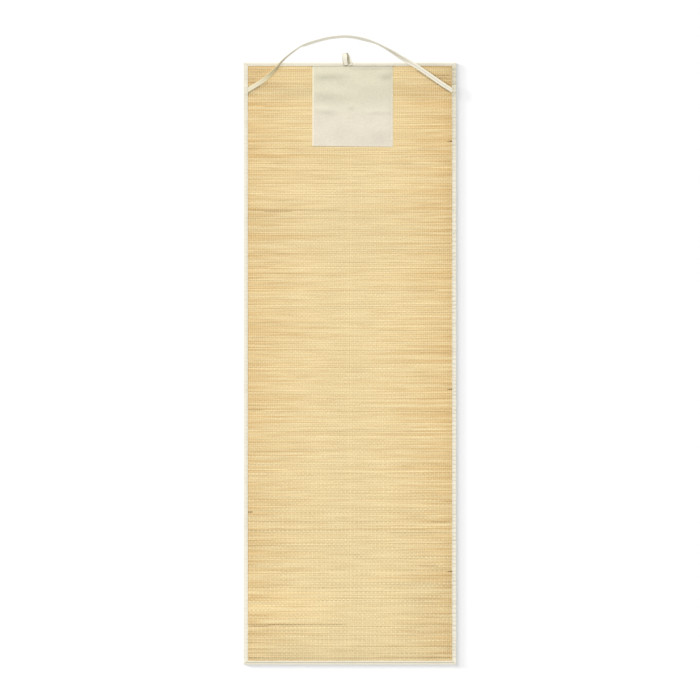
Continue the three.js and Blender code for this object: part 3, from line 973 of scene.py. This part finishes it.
def binding_strips():
    """The four strips, clockwise from the top, with the same lifts as in the construction model."""
    width, length = RIGHT_OUTER - LEFT_OUTER, TOP_OUTER - BOTTOM_OUTER
    left, right = LEFT_INNER - LEFT_OUTER, RIGHT_OUTER - RIGHT_INNER
    top, bottom = TOP_OUTER - TOP_INNER, BOTTOM_INNER - BOTTOM_OUTER
    margin, below, above = 1 * MM, 8 * MM, 12 * MM
    patch_rises, strap_rises = 1.3 * MM, 1.8 * MM
    left_end, right_end = STRAP_ROUTE[0][1], STRAP_ROUTE[-1][1]
    over_patch = (PATCH_LOW[0] - margin, PATCH_HIGH[0] + margin, patch_rises)
    over_right_end = (-right_end - above, -right_end + below, strap_rises)
    over_left_end = (left_end - below, left_end + above, strap_rises)
    return (
        BindingStrip("top", 0, width, TOP_OUTER, top, left, right, (over_patch,)),
        BindingStrip("right", -90, length, RIGHT_OUTER, right, top, bottom, (over_right_end,)),
        BindingStrip("bottom", 180, width, -BOTTOM_OUTER, bottom, right, left),
        BindingStrip("left", 90, length, -LEFT_OUTER, left, bottom, top, (over_left_end,)),
    )


class MAT_OT_fold_binding(bpy.types.Operator):
    """Fold the binding tape round the four edges and sew it down"""

    bl_idname = "beach_mat.fold_binding"
    bl_label = "Fold Binding"

    def execute(self, context):
        tape = context.scene.mat_tape
        cotton = tape_finish(tape)
        thread = thread_finish("sewing_thread", tape.thread)
        first_seed = 20
        for seed, strip in enumerate(binding_strips(), first_seed):
            piece, developed = self.fold(strip, tape, cotton, np.random.default_rng(seed))
            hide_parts("binding_" + strip.edge)
            sewing = self.sew(strip, tape, thread)
        return {"FINISHED"}

    def section(self, strip, half):
        """Middle line of the tape in section, from its lower inner edge round the fold to the upper one:
        depth, height and painted shade of the seam. Its first point on the upper side comes with it."""
        low = half + 0.05 * MM
        high = PANEL_TOP + 0.95 * MM - half
        radius = (high - low) / 2
        bend = radius + half
        inner, seam = strip.width, strip.seam()
        lower_leg = [(inner, low, 0), (0.66 * inner, low, 0), (bend, low, 0)]
        turns = np.radians([-60, -30, 0, 30, 60])
        fold = [(bend - radius * math.cos(turn), low + radius * (1 + math.sin(turn)), 0) for turn in turns]
        upper_leg = [
            (bend, high, 0),
            (seam - 2.6 * MM, high + 0.18 * MM, 0),
            (seam - 1.7 * MM, high + 0.05 * MM, 0.1),
            (seam - 0.7 * MM, high - 0.32 * MM, 1.0),
            (seam + 0.5 * MM, high - 0.32 * MM, 1.0),
            (seam + 1.3 * MM, high - 0.02 * MM, 0.05),
            (inner - 0.6 * MM, high - 0.05 * MM, 0),
            (inner, PANEL_TOP + half + 0.08 * MM, 0),
        ]
        return np.array(lower_leg + fold + upper_leg), len(lower_leg) + np.count_nonzero(turns <= 0)

    def fold(self, strip, tape, cotton, rng):
        """The tape round its edge, and its width before it was folded."""
        section, first_upper = self.section(strip, tape.binding_thick / 2)
        run = np.concatenate([[0], np.cumsum(np.hypot(*np.diff(section[:, :2], axis=0).T))])
        last = len(section) - 1
        stations = int(strip.span / (3.5 * MM))
        piece, share, across = grid_sheet(
            "binding_tape_" + strip.edge, last, stations, cotton)
        row = np.rint(across * last).astype(int)
        upper = row >= first_upper
        depth, z, dip = section[row].T
        s = strip.along(share, depth)
        groove = self.straw_ends(strip, rng, s)
        # The inner edge of the upper leg is a little wavy
        turn = 2 * math.pi * s
        uneven = 0.22 * MM * np.sin(turn / 0.047 + 1.3) + 0.18 * MM * np.sin(turn / 0.019)
        depth = depth + upper * smooth(depth, 0.5 * strip.width, strip.width) * uneven
        z = z + upper * (strip.lift(s) - 0.4 * MM * groove * smooth(depth, 0.5 * MM, 2.5 * MM))
        seam_shade = BINDING_SEWING[strip.edge][1]
        # Painted shade in the grooves of straw ends and in the seam, and the painted light and shade of the
        # marks
        pressed = 0.9 * groove * upper + seam_shade * dip + strip.painted_mark_shading(s, depth)
        bend_sheet(piece, strip.world(s, depth, z), s, run[row], pressed, tape.binding_thick)
        return piece, run[-1]

    def straw_ends(self, strip, rng, s):
        """Grooves where straw ends press into the tape of the long sides."""
        _, _, at_start, further_on = BINDING_SEWING[strip.edge]
        press = further_on + (at_start - further_on) * (1 - smooth(s, -0.80, -0.62))
        groove = np.zeros_like(s)
        margin, wide = 20 * MM, 1.7 * MM
        at = -strip.span / 2 + margin
        while at_start and at < strip.span / 2 - margin:
            groove = np.maximum(groove, press * rng.uniform(0.5, 1.0) * np.exp(-((s - at) / wide) ** 2))
            at += rng.uniform(8, 13.5) * MM
        return groove

    def sew(self, strip, tape, thread):
        """One line of stitches along the seam of the upper leg."""
        seam = strip.seam()
        end = strip.span / 2 - 1.5 * seam
        count = int((strip.span - 2 * seam) / tape.stitch_pitch)
        s = np.linspace(-end, end, count)
        centres = strip.world(s, np.full(count, seam), PANEL_TOP + 0.78 * MM + strip.lift(s))
        return stitches(
            "binding_stitches_" + strip.edge, centres, strip.heading(), UP,
            STITCH_SHARE * tape.stitch_pitch, tape.stitch_width, thread)


def patch_rise(x, y):
    """Height of the patch's soft ridges at a place on the mat."""
    rise = np.zeros_like(x)
    for middle_x, middle_y, long, wide, turn, height in PATCH_FOLDS:
        angle = math.radians(turn)
        along = ((x - middle_x) * math.cos(angle) + (y - middle_y) * math.sin(angle)) / long
        across = ((y - middle_y) * math.cos(angle) - (x - middle_x) * math.sin(angle)) / wide
        rise += height * np.exp(-along ** 2 - across ** 2)
    return rise


class MAT_OT_sew_patch(bpy.types.Operator):
    """Lay the cloth patch on the panel, with its hem, soft folds and stitches"""

    bl_idname = "beach_mat.sew_patch"
    bl_label = "Sew Cloth Patch"

    def execute(self, context):
        patch = context.scene.mat_patch
        steps = 150
        piece, share_x, share_y = grid_sheet(
            "patch_cloth", steps, steps, patch_finish(patch))
        x = PATCH_LOW[0] + share_x * (PATCH_HIGH[0] - PATCH_LOW[0])
        lower = PATCH_LOW[1] + patch.askew * (1 - share_x)
        y = lower + share_y * (PATCH_HIGH[1] - lower)
        edge = np.minimum(np.minimum(x - PATCH_LOW[0], PATCH_HIGH[0] - x), y - lower)
        lies = PANEL_TOP + 0.2 * MM + patch.thick / 2
        rise, pressed = self.drape(patch, x, y, edge)
        bend_sheet(piece, np.stack([x, y, lies + rise], axis=1), x, y, pressed, patch.thick)
        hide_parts("cloth_patch")
        sewing = self.sew(patch, context.scene.mat_tape, lies + patch.thick / 2 + 0.22 * MM)
        return {"FINISHED"}

    def drape(self, patch, x, y, edge):
        """Rise of the cloth over the panel with its soft folds, hem, seam and rolled edge, and its painted
        shading: shade on the lower flanks of the folds, at the seam and in soft spots, and light along the
        edges.
        """
        free = 1 - smooth(y, TOP_INNER - 3 * MM, TOP_INNER)
        full = smooth(np.minimum(edge, np.maximum(TOP_INNER - y, 0)), 0, 8 * MM)
        sewn = np.exp(-((edge - HEM_SEAM) / (0.8 * MM)) ** 2)
        hem = 0.2 * MM * (1 - smooth(edge, patch.hem - 1 * MM, patch.hem + 1 * MM))
        roll = 0.65 * MM * (1 - smooth(edge, 0, 3 * MM))
        rise = patch_rise(x, y) * full + (hem - 0.2 * MM * sewn - roll) * free
        slope = (patch_rise(x, y + 1 * MM) - patch_rise(x, y - 1 * MM)) / (2 * MM)
        # Painted shade on the lower flanks of the folds, which face away from the light
        flank_shade = np.clip(slope, 0, 0.3) * full
        # Painted light along the patch's edges
        painted_edge_light = 0.95 * (1 - smooth(edge, 2.2 * MM, 4.2 * MM))
        return rise, (0.05 * sewn - painted_edge_light) * free + self.painted_shade(x, y) + 0.9 * flank_shade

    def painted_shade(self, x, y):
        """Painted shade in soft spots and along the top binding, where the right half is the darker one, with
        painted light right under the binding's edge.
        """
        right = smooth(x, -0.02, 0.04)
        shade = 0.55 * right * smooth(y, TOP_INNER - 15 * MM, TOP_INNER - 8 * MM)
        shade -= (0.70 - 0.15 * right) * smooth(y, TOP_INNER - 4 * MM, TOP_INNER - 1 * MM)
        for middle_x, middle_y, long, wide, amount in PATCH_SHADE_SPOTS:
            shade += amount * np.exp(-((x - middle_x) / long) ** 2 - ((y - middle_y) / wide) ** 2)
        return shade

    def sew(self, patch, tape, height):
        """Stitches along the left, lower and right hem."""
        left, right = PATCH_LOW[0] + HEM_SEAM, PATCH_HIGH[0] - HEM_SEAM
        low_left, low_right = PATCH_LOW[1] + patch.askew + HEM_SEAM, PATCH_LOW[1] + HEM_SEAM
        line = ((left, TOP_INNER), (left, low_left), (right, low_right), (right, TOP_INNER))
        corners = np.array([(x, y, height) for x, y in line])
        centres, headings = [], []
        for start, end in zip(corners[:-1], corners[1:]):
            length = np.linalg.norm(end - start)
            count = int(length / tape.stitch_pitch)
            shares = (np.arange(count) + 0.5) / count
            centres.append(start + shares[:, None] * (end - start))
            headings.append(np.tile((end - start) / length, (count, 1)))
        return stitches(
            "patch_stitches", np.concatenate(centres), np.concatenate(headings), UP,
            STITCH_SHARE * tape.stitch_pitch, tape.stitch_width, bpy.data.materials["sewing_thread"])


def smooth_route(rows, share):
    """The columns of a route's given rows, on one smooth curve through them."""
    rows = np.asarray(rows, dtype=float)
    padded = np.concatenate([[2 * rows[0] - rows[1]], rows, [2 * rows[-1] - rows[-2]]])
    position = np.clip(share, 0, 1) * (len(rows) - 1)
    index = np.minimum(position.astype(int), len(rows) - 2)
    part = (position - index)[:, None]
    before, start, end, after = (padded[index + k] for k in range(4))
    bend = (2 * before - 5 * start + 4 * end - after) * part ** 2
    bend += (3 * start - before - 3 * end + after) * part ** 3
    return 0.5 * (2 * start + (end - before) * part + bend)


def unit(vectors):
    return vectors / np.linalg.norm(vectors, axis=-1, keepdims=True)


def tape_frame(rows, share, across_at):
    """Middle, heading, width direction and upward direction of a tape along its route."""
    step = 0.0005
    route = smooth_route(rows, share)
    ahead = smooth_route(rows, np.minimum(share + step, 1))
    behind = smooth_route(rows, np.maximum(share - step, 0))
    heading = unit((ahead - behind)[:, :3])
    across = across_at(heading, np.radians(route[:, 3]))
    across = unit(across - heading * np.sum(across * heading, axis=1, keepdims=True))
    return route[:, :3], heading, across, np.cross(heading, across)


def strap_across(heading, roll):
    """Width of the strap: outwards from the arch, and upwards as it rolls."""
    outward = unit(np.stack([-heading[:, 1], heading[:, 0], np.zeros(len(heading))], axis=1))
    upward = np.cross(heading, outward)
    return outward * np.cos(roll)[:, None] + upward * np.sin(roll)[:, None]


def loop_across(heading, turn):
    """Width of the loop's tape: level, turned a little from the mat's width."""
    return np.stack([np.cos(turn), np.sin(turn), np.zeros(len(heading))], axis=1)


def loop_shade(share, side):
    """Painted shade on the loop: on the left rim of its left leg, at the fold, and darkest on the inner part
    of its right leg, inside the loop; painted light on the rest of its left leg."""
    upper = 1 - smooth(share, 0.40, 0.46)
    rim = 2.0 * upper * (1 - smooth(side, -1.0, -0.45)) * (1 - 0.4 * smooth(share, 0.15, 0.35))
    fold = 1.3 * np.exp(-((share - 0.42) / 0.05) ** 2)
    clean = 0.55 * upper * smooth(share, 0.06, 0.14)
    inner = 0.75 - 4.8 * (share - 0.69)
    leg = smooth(share, 0.46, 0.60) * (1 - smooth(share, 0.90, 0.97))
    leg = leg * (1.5 + 0.6 * smooth(share, 0.58, 0.78))
    return rim + fold - clean + leg * (1 - 0.75 * smooth(side, inner - 0.15, inner + 0.25))


def strap_shade(share, side):
    """Painted shade on the strap: where it turns over at the left, on the rims of its ends and along the
    middle of its right run. Painted light on the arch and on the rest of the right run."""
    flat = 0.10 + 0.10 * smooth(share, 0.06, 0.11)
    turned = 1.3 * smooth(share, 0.155, 0.185) * (1 - smooth(side, -0.6, 0.2))
    left = (flat + turned) * (1 - 0.7 * smooth(share, 0.20, 0.24)) * (1 - smooth(share, 0.27, 0.32))
    arch = smooth(share, 0.27, 0.34) * (1 - smooth(share, 0.62, 0.78))
    run = smooth(share, 0.72, 0.82) * (1 - 0.6 * smooth(share, 0.90, 0.97))
    rims = run * (0.6 * smooth(np.abs(side), 0.25, 0.55) - 0.3 * (1 - smooth(np.abs(side), 0.0, 0.35)))
    ends = 1.0 - smooth(share, 0.08, 0.12) + 1.8 * smooth(share, 0.80, 0.86)
    lower = ends * (1 - smooth(side, -0.95, -0.60))
    upper = 0.6 * smooth(share, 0.82, 0.88) * smooth(side, 0.65, 0.95)
    return left - arch - rims + lower + upper + 0.15 * smooth(share, 0.90, 0.97)


def strap_wear(share):
    """Yellowing of the strap, from its left end to where it turns over."""
    return (0.45 + 0.55 * smooth(share, 0.07, 0.14)) * (1 - smooth(share, 0.19, 0.23))


def sewn_tape(name, rows, across_at, width, thick, tape, shade, along, reverse=None, wear=None):
    """A folded tape along a route, with a shallow channel between its folded edges and a line of
    stitches on both sides."""
    cotton, thread = (bpy.data.materials[finish] for finish in ("sewn_cotton", "sewing_thread"))
    lanes = 10
    piece, share, lane = grid_sheet(name, lanes, along, cotton)
    middle, _, across, up = tape_frame(rows, share, across_at)
    side = 2 * lane - 1
    skin = 0.62 * thick
    belly = (thick - skin) / 2
    lift = belly * (0.55 * np.abs(side) ** 3 - 0.45 * np.exp(-(side / 0.22) ** 2))
    half = (width / 2 - 0.2 * MM) * smooth_route(rows, share)[:, 4]
    points = middle + across * (side * half)[:, None] + up * lift[:, None]
    steps = np.linspace(0, 1, 600)
    line = smooth_route(rows, steps)[:, :3]
    run = np.concatenate([[0], np.cumsum(np.linalg.norm(np.diff(line, axis=0), axis=1))])
    # Painted shade in the channel between the folded edges, and the painted light and shade given by the
    # route's shade function
    pressed = 0.35 * np.exp(-(side / 0.16) ** 2) + shade(share, side)
    worn = wear(share) if wear else None
    bend_sheet(piece, points, np.interp(share, steps, run), side * width / 2, pressed, skin, reverse, worn)

    count = int(run[-1] / tape.stitch_pitch) - 1
    spots = np.interp((np.arange(count) + 0.75) * tape.stitch_pitch, run, steps)
    middle, heading, _, up = tape_frame(rows, spots, across_at)
    raised = up * (skin / 2 + 0.05 * MM)
    sewing = stitches(
        name + "_stitches", np.concatenate([middle + raised, middle - raised]),
        np.concatenate([heading, -heading]), np.concatenate([up, -up]),
        0.7 * tape.stitch_pitch, 0.85 * tape.stitch_width, thread)
    return piece, sewing, run[-1]


class MAT_OT_lay_strap(bpy.types.Operator):
    """Lay the carrying strap along its route"""

    bl_idname = "beach_mat.lay_strap"
    bl_label = "Lay Carrying Strap"

    def execute(self, context):
        tape = context.scene.mat_tape
        rows = []
        for x, y, under, roll in STRAP_ROUTE:
            angle = math.radians(roll)
            half = tape.strap_width / 2 * math.sin(angle) + tape.strap_thick / 2 * math.cos(angle)
            rows.append((x, y, under + half, roll, 1.0))
        piece, sewing, length = sewn_tape(
            "strap_tape", rows, strap_across, tape.strap_width, tape.strap_thick, tape, strap_shade,
            along=260, reverse=0.15, wear=strap_wear)
        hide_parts("carry_strap")
        return {"FINISHED"}


class MAT_OT_fold_loop(bpy.types.Operator):
    """Fold the fastening loop and set it on the top binding"""

    bl_idname = "beach_mat.fold_loop"
    bl_label = "Fold Fastening Loop"

    def execute(self, context):
        tape = context.scene.mat_tape
        piece, sewing, length = sewn_tape(
            "loop_tape", LOOP_ROUTE, loop_across, tape.loop_width, tape.loop_thick, tape, loop_shade,
            along=90)
        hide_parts("fastening_loop")
        return {"FINISHED"}


class MAT_OT_set_stage(bpy.types.Operator):
    """Set the floor, the lights and the camera over the mat"""

    bl_idname = "beach_mat.set_stage"
    bl_label = "Set Stage"

    def execute(self, context):
        stage = context.scene.mat_stage
        bpy.ops.object.select_all(action="DESELECT")
        width, below = 90, 0.1 * MM
        bpy.ops.mesh.primitive_plane_add(size=width, location=(0, 0, -below))
        floor = context.object
        floor.name = "floor"
        floor.data.materials.append(floor_finish(stage))
        self.set_lights(context.scene, stage, floor)
        self.set_camera(context.scene, stage)
        return {"FINISHED"}

    def set_lights(self, scene, stage, floor):
        """Light all round, one light on the mat, and the floor's own lights. The strap blocks none of these
        lamps, as its shadow is painted into the straws' colour, and the loop none of the floor's."""
        world = bpy.data.worlds.new("soft_room")
        world.use_nodes = True
        background = world.node_tree.nodes["Background"]
        background.inputs["Color"].default_value = (1, 1, 1, 1)
        background.inputs["Strength"].default_value = stage.fill_light
        scene.world = world

        strap, loop = (bpy.data.objects[name] for name in ("strap_tape", "loop_tape"))
        top = self.shine("top_light", stage.top_light, heading=112, height=44, softness=24)
        self.link(top, "receiver", [floor], "EXCLUDE")
        self.link(top, "blocker", [strap], "EXCLUDE")
        for strength, heading, height, softness in FLOOR_LIGHTS:
            lamp = self.shine("floor_light", stage.floor_light * strength, heading, height, softness)
            self.link(lamp, "receiver", [floor], "INCLUDE")
            self.link(lamp, "blocker", [strap, loop], "EXCLUDE")

    def set_camera(self, scene, stage):
        """A camera straight over the mat, so far off that the view has its set width."""
        lens = bpy.data.cameras.new("view")
        lens.lens = stage.lens
        lens.sensor_width = 36
        camera = bpy.data.objects.new("view", lens)
        distance = stage.view_width * stage.lens / lens.sensor_width
        camera.location = (0, stage.view_middle, PANEL_TOP + distance)
        scene.collection.objects.link(camera)
        scene.camera = camera
        scene.view_settings.view_transform = "Standard"

    def shine(self, name, strength, heading, height, softness):
        """A far, soft light. Its heading, height over the floor and softness are in degrees."""
        light = bpy.data.lights.new(name, "SUN")
        light.energy = strength
        light.angle = math.radians(softness)
        lamp = bpy.data.objects.new(name, light)
        around, up = math.radians(heading), math.radians(height)
        towards = Vector((math.cos(up) * math.cos(around), math.cos(up) * math.sin(around), math.sin(up)))
        lamp.rotation_euler = towards.to_track_quat("Z", "Y").to_euler()
        bpy.context.scene.collection.objects.link(lamp)
        return lamp

    def link(self, lamp, kind, items, state):
        """Include or exclude the items as receivers of the light, or as blockers of it."""
        group = bpy.data.collections.new(lamp.name + "_" + kind)
        for item in items:
            group.objects.link(item)
        for member in group.collection_objects:
            member.light_linking.link_state = state
        setattr(lamp.light_linking, kind + "_collection", group)


class MAT_PT_beach_mat(bpy.types.Panel):
    """Steps of making the mat"""

    bl_label = "Beach Mat"
    bl_idname = "MAT_PT_beach_mat"
    bl_space_type = "VIEW_3D"
    bl_region_type = "UI"
    bl_category = "Beach Mat"

    def draw(self, context):
        for step in STEPS:
            self.layout.operator(step.bl_idname)


SETTINGS = {
    "mat_weave": WeaveSettings,
    "mat_tape": TapeSettings,
    "mat_patch": PatchSettings,
    "mat_stage": StageSettings,
}
STEPS = (
    MAT_OT_weave_panel,
    MAT_OT_lay_warps,
    MAT_OT_fold_binding,
    MAT_OT_sew_patch,
    MAT_OT_lay_strap,
    MAT_OT_fold_loop,
    MAT_OT_set_stage,
)
CLASSES = (*SETTINGS.values(), *STEPS, MAT_PT_beach_mat)


def register():
    for kind in CLASSES:
        bpy.utils.register_class(kind)
    for name, kind in SETTINGS.items():
        setattr(bpy.types.Scene, name, PointerProperty(type=kind))


def unregister():
    for name in SETTINGS:
        delattr(bpy.types.Scene, name)
    for kind in reversed(CLASSES):
        bpy.utils.unregister_class(kind)


def main():
    register()
    bpy.ops.beach_mat.weave_panel()
    bpy.ops.beach_mat.lay_warps()
    bpy.ops.beach_mat.fold_binding()
    bpy.ops.beach_mat.sew_patch()
    bpy.ops.beach_mat.lay_strap()
    bpy.ops.beach_mat.fold_loop()
    bpy.ops.beach_mat.set_stage()


if __name__ == "__main__":
    main()
